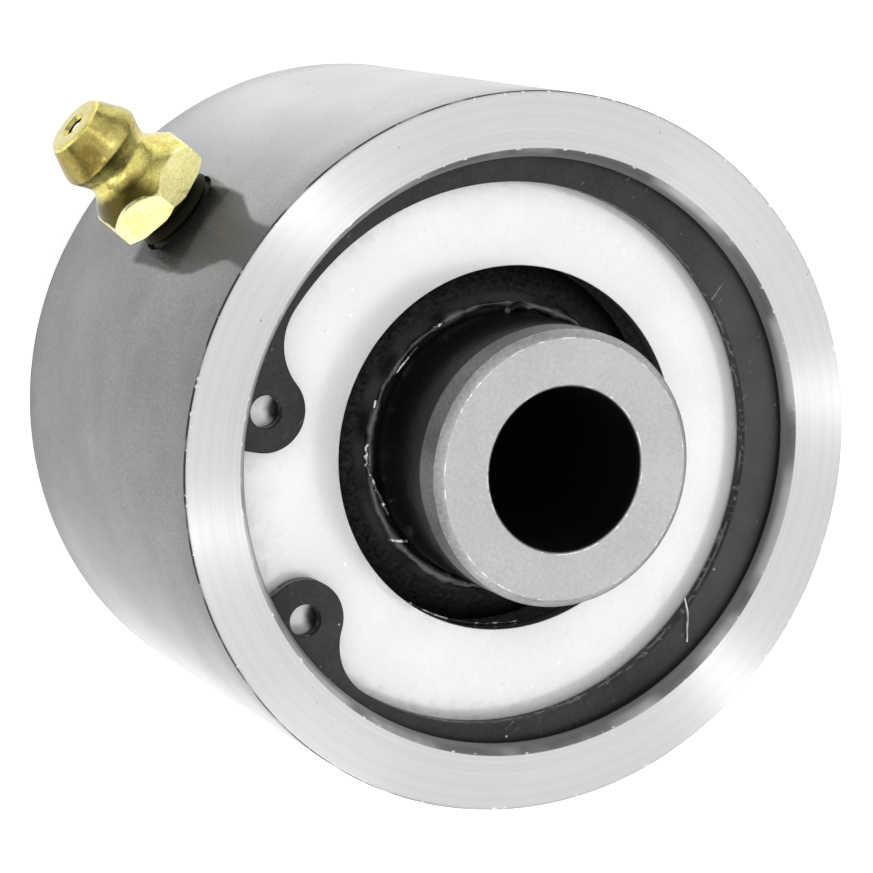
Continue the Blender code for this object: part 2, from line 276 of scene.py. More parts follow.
def makeTurnedSteel(name):
    look = {"face": (0.63, 0.63, 0.635), "barrel": (0.26, 0.26, 0.262), "litSide": (0.575, 0.575, 0.577),
            "roughness": 0.38}
    nippleShadow = {"centre": 0.9 * mm, "wide": 3.6 * mm, "taper": 1.9 * mm, "from": 7 * mm, "to": 14.5 * mm}
    part = {"face": 17.38 * mm, "skin": 25.15 * mm, "mouth": 21.42 * mm, "chamfer": 16.38 * mm,
            "bore": 20.9 * mm, "edgeReflection": 17.10 * mm, "corner": 25.27 * mm}
    f = Finish(name, Anisotropic=1.0, Anisotropic_Rotation=0.25)
    across = f.axisDistance()
    height = f.z.size()
    clouds = f.noise(140, 5.0, 0.62)
    grain = f.noise(5200, 3.0, 0.6)
    face = (height - part["face"]).between(0, 0.06 * mm)
    barrel = across.between(part["skin"], part["skin"] + 0.15 * mm) * (1 - face)
    bevel = 1 - across.between(part["mouth"], part["mouth"] + 0.04 * mm)
    bevel = bevel * height.between(part["chamfer"], part["chamfer"] + 0.04 * mm)
    inside = 1 - across.between(part["bore"], part["bore"] + 0.2 * mm)
    lathe = f.grooves(across, 5600, 3.0, 0.6)
    broad = f.grooves(across, 1500, 2.0, 0.6)
    # The face is cut in fine rings, and the barrel is drawn tube with a mottled skin.
    faceTone = (lathe * 0.45 + broad * 0.25 + clouds * 0.3).between(0.34, 0.66)
    barrelTone = (clouds * 0.4 + grain * 0.6).between(0.36, 0.64)
    faceColour = f.blend(faceTone, [v * 0.955 for v in look["face"]], [v * 1.035 for v in look["face"]])
    dark = f.blend(barrelTone, [v * 0.82 for v in look["barrel"]], [v * 1.20 for v in look["barrel"]])
    light = f.blend(barrelTone, [v * 0.92 for v in look["litSide"]], [v * 1.08 for v in look["litSide"]])
    # The barrel is painted darker on the side round the nipple and lighter on the rest: painted shade and
    # light.
    shadedSide = (f.x * 0.469 - f.y * 0.883) / housingRadius
    skin = f.blend(shadedSide.between(0.50, 0.98), light, dark)
    pits = (1 - f.cells(1300).between(0.05, 0.16)) * f.noise(240, 2.0).between(0.52, 0.66)
    skin = f.blend(pits * 0.7, skin, (0.07, 0.07, 0.07))
    flecks = (1 - f.cells(1700).between(0.03, 0.12)) * f.noise(300, 2.0).between(0.56, 0.68)
    skin = f.blend(flecks * 0.6, skin, (0.62, 0.62, 0.62))
    rim = height.between(13.5 * mm, 17.2 * mm)
    skin = f.blend(rim * 0.20, skin, (0.10, 0.10, 0.10))
    # Painted shadow of the nipple, running from its foot to the front edge and darkest by the hexagon; the
    # patch is also made non-metallic and smoother.
    reach = (f.x - nippleShadow["centre"] + (f.noise(300, 3.0, 0.6) - 0.5) * (0.8 * mm)).size()
    width = nippleShadow["wide"] - f.z.between(nippleShadow["from"], nippleShadow["to"]) * nippleShadow["taper"]
    wet = (1 - (reach - width).between(-0.2 * mm, 0.2 * mm)) * f.z.between(-3 * mm, -1.5 * mm)
    wet = wet * (0 - f.y).between(0, 10 * mm)
    # The near-black part right by the hexagon is painted contact shade.
    contactShade = 1 - (f.z + (f.noise(420, 2.0) - 0.5) * (2.0 * mm)).between(5.5 * mm, 6.9 * mm)
    shadowColour = f.blend(contactShade, (0.043, 0.044, 0.053), (0.007, 0.007, 0.008))
    shadowColour = f.blend(flecks * 0.5, shadowColour, (0.30, 0.30, 0.30))
    skin = f.blend(wet, skin, shadowColour)
    f.feed("Metallic", 1 - wet * barrel)
    # A painted dark reflection runs round the barrel next to each end face's edge.
    line = height.between(part["edgeReflection"], part["edgeReflection"] + 0.08 * mm)
    line = line * f.noise(330, 2.0).between(0.34, 0.50)
    skin = f.blend(line * 0.9, skin, (0.015, 0.015, 0.015))
    colour = f.blend(barrel, faceColour, skin)
    # The mouth chamfer is patchy round its turn and painted darker over its deeper part, as shade.
    bevelTone = f.noise(140, 3.0, 0.5, (1.0, 1.0, 0.1)).between(0.42, 0.62)
    bevelTone = f.blend(bevelTone, (0.24, 0.24, 0.24), (0.66, 0.66, 0.66))
    bevelTone = f.blend(height.between(16.6 * mm, 17.05 * mm), (0.34, 0.34, 0.34), bevelTone)
    colour = f.blend(bevel, colour, bevelTone)
    # The bore wall is painted near black, as shade.
    colour = f.blend(inside * (1 - bevel), colour, (0.045, 0.045, 0.045))
    # Handling nicks stand bright on the edges of each end face.
    edges = across.near(part["corner"], 0.15 * mm).most(across.near(21.44 * mm, 0.12 * mm))
    nicks = edges * height.between(17.2 * mm, 17.3 * mm)
    nicks = nicks * f.noise(1500, 2.0, 0.6).between(0.62, 0.66)
    colour = f.blend(nicks, colour, (1.0, 1.0, 1.0))
    specks = (1 - f.cells(800).between(0.03, 0.10)) * f.noise(210, 1.0).between(0.58, 0.64)
    colour = f.blend(specks * (1 - barrel) * 0.6, colour, (0.16, 0.16, 0.17))
    f.feed("Base Color", colour)
    rough = look["roughness"] + (grain - 0.5) * 0.10 + nicks * 0.2 - barrel * wet * 0.10
    f.feed("Roughness", rough)
    rings = (lathe * 1.0 + broad * 0.8) * (1 - barrel * 0.85)
    f.feed("Normal", f.bump(rings + grain * (barrel * 0.8 + 0.05) + clouds * barrel, 0.0020 * mm))
    return f


def makeZincPlate(name):
    f = Finish(name, Metallic=0.2)
    clouds = f.noise(150, 5.0, 0.6)
    grain = f.noise(3800, 2.0, 0.6)
    across = f.axisDistance()
    flat = f.z.size().between(14.2 * mm, 14.28 * mm)
    tone = (clouds * 0.6 + grain * 0.4).between(0.35, 0.65)
    colour = f.blend(tone, (0.74, 0.74, 0.74), (0.80, 0.80, 0.80))
    spots = (1 - f.cells(1000).between(0.04, 0.11)) * f.noise(300, 1.0).between(0.56, 0.64)
    colour = f.blend(spots * 0.4, colour, (0.40, 0.40, 0.40))
    bare = (1 - f.cells(760).between(0.05, 0.12)) * f.noise(260, 1.0).between(0.58, 0.66)
    colour = f.blend(bare * 0.8, colour, (1.0, 1.0, 1.0))
    # The washer is greyer and rougher in a ragged band round the hole, widest on one side.
    side = (f.x * 0.75 - f.y * 0.66).between(-2 * mm, 12 * mm)
    rim = 1 - across.between(13.0 * mm, 13.7 * mm)
    holeBand = rim * side * f.noise(420, 4.0, 0.7).between(0.42, 0.64)
    colour = f.blend(holeBand * 0.4, colour, (0.30, 0.30, 0.30))
    # Every face but the top, the hole wall among them, is painted near black, as shade.
    colour = f.blend((1 - flat) * 0.9, colour, (0.045, 0.045, 0.045))
    foot = across.between(17.0 * mm, 19.6 * mm) * flat * f.noise(900, 3.0, 0.6).between(0.50, 0.66)
    colour = f.blend(foot * 0.15, colour, (0.25, 0.25, 0.25))
    # Painted shadow inside the ring's two lug holes, set off to one side of each hole.
    lugShadow = {"aside": Vector((-0.95, 1.15, 0)) * mm, "full": 0.65 * mm, "gone": 1.35 * mm}
    for side in (-1, 1):
        turnBy = math.radians(gapAt + side * lugAt)
        hole = Matrix.Rotation(turnBy, 3, "Z") @ Vector((lugFromAxis, 0, 0))
        spot = hole + lugShadow["aside"]
        reach = ((f.x - spot.x) * (f.x - spot.x) + (f.y - spot.y) * (f.y - spot.y)) ** 0.5
        ragged = reach + (f.noise(900, 2.0) - 0.5) * (0.5 * mm)
        lugShade = 1 - ragged.between(lugShadow["full"], lugShadow["gone"])
        colour = f.blend(lugShade * flat, colour, (0.035, 0.035, 0.035))
    f.feed("Base Color", colour)
    f.feed("Roughness", 0.17 + grain * 0.10 + holeBand * 0.25)
    f.feed("Normal", f.bump(grain * 0.7 + clouds, 0.003 * mm))
    return f


def makeBlackOxide(name):
    f = Finish(name, Metallic=0.2, Specular_IOR_Level=0.35)
    grain = f.noise(2600, 4.0, 0.7)
    clouds = f.noise(230, 3.0, 0.6)
    top = f.z.between(15.6 * mm, 15.7 * mm)
    colour = f.blend((clouds * 0.5 + grain * 0.5).between(0.35, 0.68),
                     (0.010, 0.010, 0.011), (0.028, 0.028, 0.029))
    dust = (1 - f.cells(1100).between(0.04, 0.13)) * f.noise(330, 2.0).between(0.58, 0.66)
    colour = f.blend(dust * 0.9, colour, (0.55, 0.55, 0.55))
    # Painted sheen on the ring's top, on one side only.
    ringSheen = (f.y * 0.79 - f.x * 0.61).between(9 * mm, 20 * mm) * top
    colour = f.blend(ringSheen * (0.3 + clouds * 0.5), colour, (0.075, 0.075, 0.075))
    scratch = f.noise(620, 2.0, 0.5, (1.0, 5.0, 1.0)).between(0.70, 0.74)
    colour = f.blend(scratch * 0.5, colour, (0.20, 0.20, 0.20))
    # The ring's side walls are painted darker than its top, as shade.
    colour = f.blend((1 - top) * 0.75, colour, (0.006, 0.006, 0.006))
    # The stamped wall has a torn line half way down.
    tear = f.z.near(15.2 * mm, 0.14 * mm) * f.noise(700, 2.0).between(0.44, 0.56)
    torn = (1 - top) * f.noise(1700, 3.0, 0.7, (1.0, 1.0, 0.5)).between(0.54, 0.64)
    colour = f.blend((tear * 0.8).most(torn * 0.7), colour, (0.22, 0.22, 0.22))
    f.feed("Base Color", colour)
    f.feed("Roughness", 0.46 + grain * 0.2 - clouds * 0.12)
    f.feed("Normal", f.bump(grain + clouds * 0.6, 0.010 * mm))
    return f


def makeUrethane(name):
    f = Finish(name, Metallic=0.0, Specular_IOR_Level=0.5)
    wet = f.noise(260, 3.0, 0.6)
    fine = f.noise(3000, 3.0, 0.65)
    f.feed("Base Color", f.blend(fine.between(0.3, 0.7), (0.028, 0.028, 0.028), (0.125, 0.125, 0.125)))
    f.feed("Roughness", 0.28 + fine * 0.3)
    f.feed("Normal", f.bump(wet * 1.0 + fine * 0.25, 0.08 * mm))
    return f


def makeGrease(name):
    f = Finish(name, Metallic=0.0, Specular_IOR_Level=0.6)
    lumps = f.noise(520, 3.0, 0.55, distortion=0.5) + f.noise(2600, 2.0, 0.6) * 0.22
    pale = f.noise(420, 3.0, 0.6).between(0.44, 0.58)
    f.feed("Base Color", f.blend(pale, (0.008, 0.008, 0.008), (0.060, 0.060, 0.060)))
    f.feed("Roughness", 0.22 + f.noise(1500, 2.0) * 0.24)
    f.feed("Normal", f.bump(lumps, 0.20 * mm))
    return f


def makeGlossyString(name):                     # grease drawn out thin, with painted highlights in places
    f = Finish(name, Specular_IOR_Level=0.7)
    paintedGlints = f.noise(1100, 3.0, 0.6).between(0.50, 0.60)
    f.feed("Base Color", f.blend(paintedGlints, (0.012, 0.012, 0.012), (0.75, 0.75, 0.75)))
    f.feed("Roughness", 0.12 + f.noise(1500, 2.0) * 0.2)
    f.feed("Normal", f.bump(f.noise(1800, 2.0), 0.05 * mm))
    return f


def makeLint(name):
    f = Finish(name, Roughness=0.8)
    f.feed("Base Color", f.blend(f.noise(900, 2.0).between(0.4, 0.6), (0.18, 0.18, 0.18), (0.6, 0.6, 0.6)))
    return f


def makeBallSteel(name, bandStart):
    f = Finish(name, Specular_IOR_Level=0.18)
    across = f.axisDistance()
    lathe = f.grooves(across, 4200, 3.0, 0.7)
    grain = f.noise(3600, 2.0, 0.6)
    clouds = f.noise(170, 5.0, 0.6)
    face = f.z.size().between(23.2 * mm, 23.28 * mm)
    bore = 1 - across.between(5.7 * mm, 5.85 * mm)
    # The grease film ends in a slightly ragged line a little short of the sleeve's end.
    edge = f.z.size() + (f.noise(180, 2.0, 0.5) - 0.5) * (0.5 * mm)
    film = (1 - edge.between(bandStart - 0.12 * mm, bandStart + 0.12 * mm)) * (1 - bore)
    tone = (clouds * 0.5 + grain * 0.5).between(0.37, 0.65)
    # The sleeve's side is painted darker than its chamfer and end face, as shade.
    side = f.blend(tone, (0.16, 0.16, 0.162), (0.27, 0.27, 0.272))
    slope = (f.z.size() - 22.68 * mm).between(0, 0.06 * mm)
    side = f.blend(slope, side, f.blend(tone, (0.32, 0.32, 0.322), (0.46, 0.46, 0.462)))
    steel = f.blend(face, side, f.blend(tone, (0.385, 0.385, 0.387), (0.455, 0.455, 0.457)))
    specks = (1 - f.cells(900).between(0.03, 0.10)) * f.noise(250, 1.0).between(0.56, 0.64)
    steel = f.blend(specks * 0.5, steel, (0.14, 0.14, 0.14))
    # Painted highlights along the end face's outer and bore edges.
    rimGlints = across.near(9.07 * mm, 0.05 * mm).most(across.near(5.87 * mm, 0.05 * mm)) * face
    rimGlints = rimGlints * f.noise(1300, 3.0, 0.6).between(0.50, 0.60)
    steel = f.blend(rimGlints * 0.65, steel, (0.97, 0.97, 0.97))
    # The bore is painted near black, as shade.
    steel = f.blend(bore * 0.97, steel, (0.002, 0.002, 0.002))
    fine = f.noise(3000, 3.0, 0.65)
    # A broad painted highlight lies where the ball meets the bead.
    dull = f.blend(fine.between(0.3, 0.7), (0.010, 0.010, 0.010), (0.044, 0.044, 0.044))
    oily = f.blend(across.between(10.4 * mm, 11.2 * mm), (0.004, 0.004, 0.004), dull)
    pale = across.near(10.35 * mm, 0.75 * mm) * f.noise(300, 2.0, 0.5).between(0.34, 0.62)
    oily = f.blend(pale, oily, (0.045, 0.045, 0.045))
    f.feed("Base Color", f.blend(film, steel, oily))
    f.feed("Metallic", 1 - film)
    rough = 0.34 + grain * 0.08 + clouds * 0.06 + bore * 0.5
    f.feed("Roughness", f.mixed(film, rough, 0.22 + fine * 0.16))
    turned = f.bump(lathe * 0.4 + grain * 0.6 + clouds * 0.5, 0.0028 * mm)
    f.feed("Normal", f.bump((f.noise(260, 3.0) + fine * 0.05) * film, 0.10 * mm, turned))
    return f


def makeYellowZinc(name):
    f = Finish(name, Metallic=1.0)
    clouds = f.noise(420, 4.0, 0.6)
    grain = f.noise(4200, 3.0, 0.7)
    rings = f.grooves(f.y, 4200, 3.0, 0.7)
    tone = (clouds * 0.45 + grain * 0.55).between(0.34, 0.66)
    colour = f.blend(tone, (0.50, 0.42, 0.10), (0.78, 0.72, 0.26))
    brown = f.noise(640, 3.0, 0.6).between(0.52, 0.66)
    colour = f.blend(brown * 0.5, colour, (0.42, 0.27, 0.05))
    green = f.noise(260, 2.0, 0.5).between(0.54, 0.68)
    colour = f.blend(green * 0.4, colour, (0.60, 0.70, 0.34))
    # Painted shade on one side of the cone and lower neck, and rubbed bright on the flats.
    flats = None
    for side in range(3):
        angle = nippleTwist + math.radians(side * 60)
        reach = (f.x * math.cos(angle) + f.z * math.sin(angle)).size()
        flats = flats.most(reach) if flats else reach
    onFlat = flats.between(3.88 * mm, 3.94 * mm)
    out = 0 - f.y
    low = f.noise(700, 2.0) * (0.6 * mm)
    under = (f.x + f.z * 0.1).between(-0.2 * mm, 1.5 * mm)
    coneShade = (out + low).between(27.8 * mm, 28.3 * mm) * (1 - (out + low).between(30.5 * mm, 31.2 * mm))
    colour = f.blend(coneShade * under * (1 - onFlat) * 0.96, colour, (0.055, 0.042, 0.006))
    # The head is darkened with brown streaks, and painted darker still on the cone's shaded side, as shade.
    head = out.between(32.0 * mm, 32.6 * mm) * (1 - out.between(35.05 * mm, 35.15 * mm))
    streaks = f.noise(1700, 3.0, 0.7, (1.0, 0.4, 1.0)).between(0.42, 0.60)
    colour = f.blend(head * (0.46 + streaks * 0.22 + under * 0.30), colour, (0.20, 0.150, 0.034))
    tip = out.between(35.2 * mm, 35.3 * mm)
    colour = f.blend(tip * 0.5, colour, (0.36, 0.31, 0.12))
    # Bright lines where the cone meets the flats: painted highlight and edge wear.
    arcs = flats.near(3.86 * mm, 0.07 * mm) * f.noise(600, 2.0).between(0.40, 0.55)
    colour = f.blend(arcs * 0.7, colour, (1.0, 0.95, 0.60))
    colour = f.blend(onFlat * (0.15 + brown * 0.15 + tone * 0.35), colour, (1.0, 0.97, 0.56))
    # The threaded shank under the hexagon is painted near black, as its shadow.
    thread = (f.y + 26.95 * mm).between(0, 0.12 * mm)
    colour = f.blend(thread * 0.97, colour, (0.008, 0.008, 0.009))
    f.feed("Base Color", colour)
    f.feed("Roughness", 0.15 + grain * 0.16 + clouds * 0.05 + thread * 0.4)
    f.feed("Normal", f.bump(grain * 0.8 + rings * 0.35 + clouds * 0.8, 0.012 * mm))
    return f


def makeBrightSteel(name):
    f = Finish(name, Metallic=1.0)
    grain = f.noise(3000, 2.0, 0.6)
    f.feed("Base Color", f.blend(grain, (0.70, 0.69, 0.67), (0.90, 0.89, 0.87)))
    f.feed("Roughness", 0.12 + grain * 0.10)
    f.feed("Normal", f.bump(grain, 0.002 * mm))
    return f


# ---- pieces

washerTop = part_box("front_washer")[1].z
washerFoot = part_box("front_washer")[0].z
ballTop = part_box("centre_ball")[1].z
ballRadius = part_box("centre_ball")[1].x
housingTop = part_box("housing")[1].z
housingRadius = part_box("housing")[1].x
ringLow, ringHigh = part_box("snap_ring")


def buildHousing(finish):
    size = {"bore": 20.8 * mm, "groove": 22.3 * mm, "lip": 18.9 * mm, "edge": 0.25 * mm,
            "chamferAcross": 0.66 * mm, "chamferDeep": 1.1 * mm, "clear": 0.25 * mm,
            "tapped": 3.32 * mm}
    outer, end = housingRadius, housingTop
    lipTop = -washerTop - size["clear"]
    grooveTop = ringHigh.z + size["clear"]
    piece = turn("housingShell", [
        (outer, end), (outer, -end), (size["lip"] + size["chamferAcross"], -end),
        (size["lip"], -end + size["chamferDeep"]), (size["lip"], lipTop),
        (size["bore"], lipTop), (size["bore"], washerTop), (size["groove"], washerTop),
        (size["groove"], grooveTop), (size["bore"], grooveTop),
        (size["bore"], end - size["chamferDeep"]), (size["bore"] + size["chamferAcross"], end)],
        steps=192)
    roundRings(piece, [(outer, end, size["edge"], 3), (outer, -end, size["edge"], 3),
                       (size["bore"] + size["chamferAcross"], end, 0.05 * mm, 2),
                       (size["lip"] + size["chamferAcross"], -end, 0.05 * mm, 2),
                       (size["bore"], grooveTop, 0.06 * mm, 2)])
    clearSelection()
    bpy.ops.mesh.primitive_cylinder_add(vertices=64, radius=size["tapped"], depth=12 * mm,
                                        location=(0, -outer, 0), rotation=(math.pi / 2, 0, 0))
    cut(piece, bpy.context.object)
    smooth(piece)
    finishPiece(piece, "housing", "turned_steel", finish, "housing")


def buildWashers(finish):
    size = {"outer": 20.55 * mm, "hole": 13.0 * mm, "edge": 0.10 * mm}
    profile = [(size["outer"], washerTop), (size["outer"], washerFoot),
               (size["hole"], washerFoot), (size["hole"], washerTop)]
    for name, node, line in (("frontWasher", "front_washer", profile),
                             ("rearWasher", "rear_washer", flipped(profile))):
        piece = turn(name, line, steps=144)
        roundRings(piece, [(r, h, size["edge"], 2) for r, h in line])
        smooth(piece)
        finishPiece(piece, "housing", "zinc_plate", finish, node)


def buildRaces(finish):
    size = {"outer": 20.55 * mm, "clear": 0.25 * mm, "gallery": 0.8 * mm, "mouth": 13.2 * mm,
            "flare": 14.0 * mm}
    seat = ballRadius + size["clear"]
    top = washerFoot - size["clear"]
    low, high = math.asin(size["gallery"] / seat), math.acos(size["mouth"] / seat)
    profile = [(size["flare"], top), (size["outer"], top), (size["outer"], size["gallery"])]
    profile += arc((0, 0), seat, low, high, 28)
    for name, node, line in (("frontRace", "front_race", profile),
                             ("rearRace", "rear_race", flipped(profile))):
        piece = turn(name, line, steps=144)
        side = 1 if name == "frontRace" else -1
        roundRings(piece, [(size["flare"], side * top, 0.3 * mm, 3),
                           (size["outer"], side * top, 0.3 * mm, 3),
                           (size["mouth"], side * math.sqrt(seat ** 2 - size["mouth"] ** 2),
                            0.25 * mm, 3)])
        smooth(piece)
        finishPiece(piece, "races", "black_urethane", finish, node)


def buildBall(finish):
    size = {"sleeve": 9.65 * mm, "chamfer": 0.58 * mm, "bore": 5.67 * mm, "break": 0.2 * mm}
    root = math.acos(size["sleeve"] / ballRadius)
    outside = [(size["sleeve"] - size["chamfer"], ballTop),
               (size["sleeve"], ballTop - size["chamfer"])]
    outside += arc((0, 0), ballRadius, root, 0, 36)
    bore = [(size["bore"] + size["break"], -ballTop), (size["bore"], size["break"] - ballTop),
            (size["bore"], ballTop - size["break"]), (size["bore"] + size["break"], ballTop)]
    piece = turn("centreBall", outside + flipped(outside)[1:] + bore, steps=160)
    rings = []
    for side in (1, -1):
        rings += [(size["sleeve"] - size["chamfer"], side * ballTop, 0.05 * mm, 2),
                  (size["sleeve"], side * (ballTop - size["chamfer"]), 0.08 * mm, 2),
                  (size["bore"] + size["break"], side * ballTop, 0.05 * mm, 2),
                  (size["sleeve"], side * ballRadius * math.sin(root), 0.35 * mm, 4)]
    roundRings(piece, rings)
    smooth(piece, 40)
    finishPiece(piece, "ball", "turned_steel", finish, "centre_ball")


def lugEdge(hole, ring, size, gapSide):        # from the gap's corner round to the inner circle
    across = Vector((-hole.y, hole.x)).normalized() * gapSide
    reach = math.sqrt(size["outer"] ** 2 - size["lug"] ** 2) - hole.length
    corner = hole + across * size["lug"] + hole.normalized() * reach
    fromHole, fromRing = size["lug"] + size["fillet"], size["inner"] - size["fillet"]
    apart = (ring - hole).length
    along = (fromHole ** 2 - fromRing ** 2 + apart ** 2) / (2 * apart)
    line = (ring - hole) / apart
    side = Vector((-line.y, line.x)) * gapSide * math.sqrt(fromHole ** 2 - along ** 2)
    fillet = hole + line * along + side

    def heading(vector):
        return math.atan2(vector.y, vector.x)

    start = heading(across)
    sweep = (heading(fillet - hole) - start) * gapSide % math.tau * gapSide
    tip = arc(hole, size["lug"], start, start + sweep, 26)
    start = heading(hole - fillet)
    sweep = -((start - heading(fillet - ring)) * gapSide % math.tau) * gapSide
    return [tuple(corner)] + tip + arc(fillet, size["fillet"], start, start + sweep, 18)[1:]


def buildSnapRing(finish):
    size = {"outer": 22.05 * mm, "inner": 19.23 * mm, "offset": 1.06 * mm, "lug": 2.85 * mm,
            "fillet": 4.2 * mm, "hole": 1.15 * mm}

    def towards(angle, distance):
        return Vector((math.cos(angle), math.sin(angle))) * distance

    ring = towards(math.radians(gapAt), size["offset"])
    holes = [towards(math.radians(gapAt + side * lugAt), lugFromAxis) for side in (-1, 1)]
    low, high = lugEdge(holes[0], ring, size, 1), lugEdge(holes[1], ring, size, -1)
    start = math.atan2(high[0][1], high[0][0])
    sweep = (math.atan2(low[0][1], low[0][0]) - start) % math.tau
    outside = arc((0, 0), size["outer"], start, start + sweep, 150)
    begin = math.atan2(low[-1][1] - ring.y, low[-1][0] - ring.x)
    back = (begin - math.atan2(high[-1][1] - ring.y, high[-1][0] - ring.x)) % math.tau
    inside = arc(ring, size["inner"], begin, begin - back, 120)
    outline = outside + low[1:] + inside[1:-1] + high[:0:-1]
    piece = drawLine("snapRing", [Vector((x, y, ringLow.z)) for x, y in outline])
    bpy.ops.mesh.select_all(action="SELECT")
    bpy.ops.mesh.edge_face_add()
    thickness = Vector((0, 0, ringHigh.z - ringLow.z))
    bpy.ops.mesh.extrude_region_move(TRANSFORM_OT_translate={"value": thickness})
    bpy.ops.mesh.select_all(action="SELECT")
    bpy.ops.mesh.normals_make_consistent(inside=False)
    for hole in holes:
        clearSelection()
        bpy.ops.mesh.primitive_cylinder_add(vertices=40, radius=size["hole"], depth=6 * mm,
                                            location=(hole.x, hole.y, ringLow.z))
        cut(piece, bpy.context.object)
    apply(piece, "BEVEL", width=0.09 * mm, segments=2, limit_method="ANGLE",
          angle_limit=math.radians(50), use_clamp_overlap=True)
    smooth(piece, 35)
    apply(piece, "WEIGHTED_NORMAL", keep_sharp=True)
    finishPiece(piece, "housing", "black_oxide", finish, "snap_ring")


def buildGrease(finish):
    size = {"ring": 10.15 * mm, "thick": 0.36 * mm, "height": 12.85 * mm}
    swell = bpy.data.textures.new("greaseSwell", "CLOUDS")
    swell.noise_scale = 2.2 * mm
    swell.noise_depth = 2
    for name, node, side in (("frontGrease", "front_grease_bead", 1),
                             ("rearGrease", "rear_grease_bead", -1)):
        clearSelection()
        bpy.ops.mesh.primitive_torus_add(major_segments=220, minor_segments=16,
                                         major_radius=size["ring"], minor_radius=size["thick"],
                                         location=(0, 0, side * size["height"]))
        piece = bpy.context.object
        piece.name = piece.data.name = name
        bpy.ops.object.transform_apply(location=True, rotation=True, scale=True)
        apply(piece, "DISPLACE", texture=swell, texture_coords="LOCAL", strength=0.7 * mm,
              mid_level=0.62)
        smooth(piece, 80)
        finishPiece(piece, "grease", "dark_grease", finish, node)


def drawStrand(name, route, thick, body, slot, finish):   # route of (degrees, radius, height in mm)
    points = [Matrix.Rotation(math.radians(degrees), 3, "Z") @ Vector((radius, 0, height)) * mm
              for degrees, radius, height in route]
    piece = drawLine(name, points, closed=False)
    bpy.ops.object.mode_set(mode="OBJECT")
    apply(piece, "SUBSURF", levels=2, render_levels=2, boundary_smooth="PRESERVE_CORNERS")
    takeUp(piece)
    bpy.ops.object.convert(target="CURVE")
    piece = bpy.context.object
    piece.data.bevel_depth = thick * mm
    piece.data.bevel_resolution = 2
    piece.data.use_fill_caps = True
    bpy.ops.object.convert(target="MESH")
    piece = bpy.context.object
    piece.name = piece.data.name = name
    bpy.ops.object.mode_set(mode="EDIT")
    bpy.ops.mesh.select_all(action="SELECT")
    bpy.ops.mesh.remove_doubles(threshold=mm / 1000)
    bpy.ops.mesh.normals_make_consistent(inside=False)
    bpy.ops.object.mode_set(mode="OBJECT")
    swell = bpy.data.textures.new(name + "Swell", "CLOUDS")
    swell.noise_scale = 0.7 * mm
    apply(piece, "DISPLACE", texture=swell, texture_coords="LOCAL", strength=thick * mm, mid_level=0.5)
    smooth(piece, 80)
    finishPiece(piece, body, slot, finish)


def buildStrands(glossy, dark, lint):
    strands = [
        ("greaseStreak", 0.07, "grease", glossy, [(-101, 9.95, 13.0), (-93, 9.9, 13.05), (-85, 9.95, 13.0)]),
        ("greaseCrumb", 0.12, "grease", glossy, [
            (-114, 10.1, 13.1), (-112.5, 10.35, 13.15), (-111, 10.15, 13.2), (-109, 10.3, 13.0)]),
        ("greaseLine", 0.08, "grease", glossy, [
            (-72, 10.4, 12.9), (-66, 10.3, 13.0), (-60, 10.3, 12.95), (-55, 10.25, 13.0)]),
        ("greaseClump", 0.14, "grease", glossy, [
            (-55, 10.2, 13.0), (-53, 10.5, 12.9), (-51, 10.2, 13.1), (-49.5, 10.6, 12.9),
            (-48, 10.2, 13.1), (-46.5, 10.55, 12.95), (-45, 10.15, 13.1), (-42, 10.3, 13.1)]),
        ("greaseThread", 0.12, "grease", glossy, [
            (-42, 10.2, 13.1), (-37, 10.1, 13.4), (-33, 10.0, 13.6), (-29, 10.0, 13.75), (-26, 9.98, 13.9)]),
        ("greaseHook", 0.10, "grease", glossy, [(-13, 9.9, 14.4), (-15, 10.4, 14.0), (-17, 10.8, 13.7)]),
        ("greaseFlap", 0.22, "grease", dark, [
            (-152, 10.0, 13.0), (-146, 10.3, 13.5), (-141, 9.95, 14.2), (-137, 10.0, 15.0)]),
        # A thin glossy strand along the washer hole's lower edge stands for that edge's highlight.
        ("washerEdgeGlint", 0.07, "housing", glossy, [
            (4, 12.93, 12.9), (12, 12.9, 12.85), (20, 12.93, 12.85), (28, 12.9, 12.85),
            (36, 12.93, 12.85), (46, 12.93, 12.9)]),
        ("lintFibre", 0.07, "housing", lint, [
            (88.8, 17.75, 15.9), (87.2, 18.35, 16.05), (86.2, 18.9, 15.95), (83.9, 19.45, 16.0),
            (83.2, 19.9, 15.9), (82.2, 20.2, 15.9)])]
    for name, thick, body, finish, route in strands:
        drawStrand(name, route, thick, body, "dark_grease", finish)


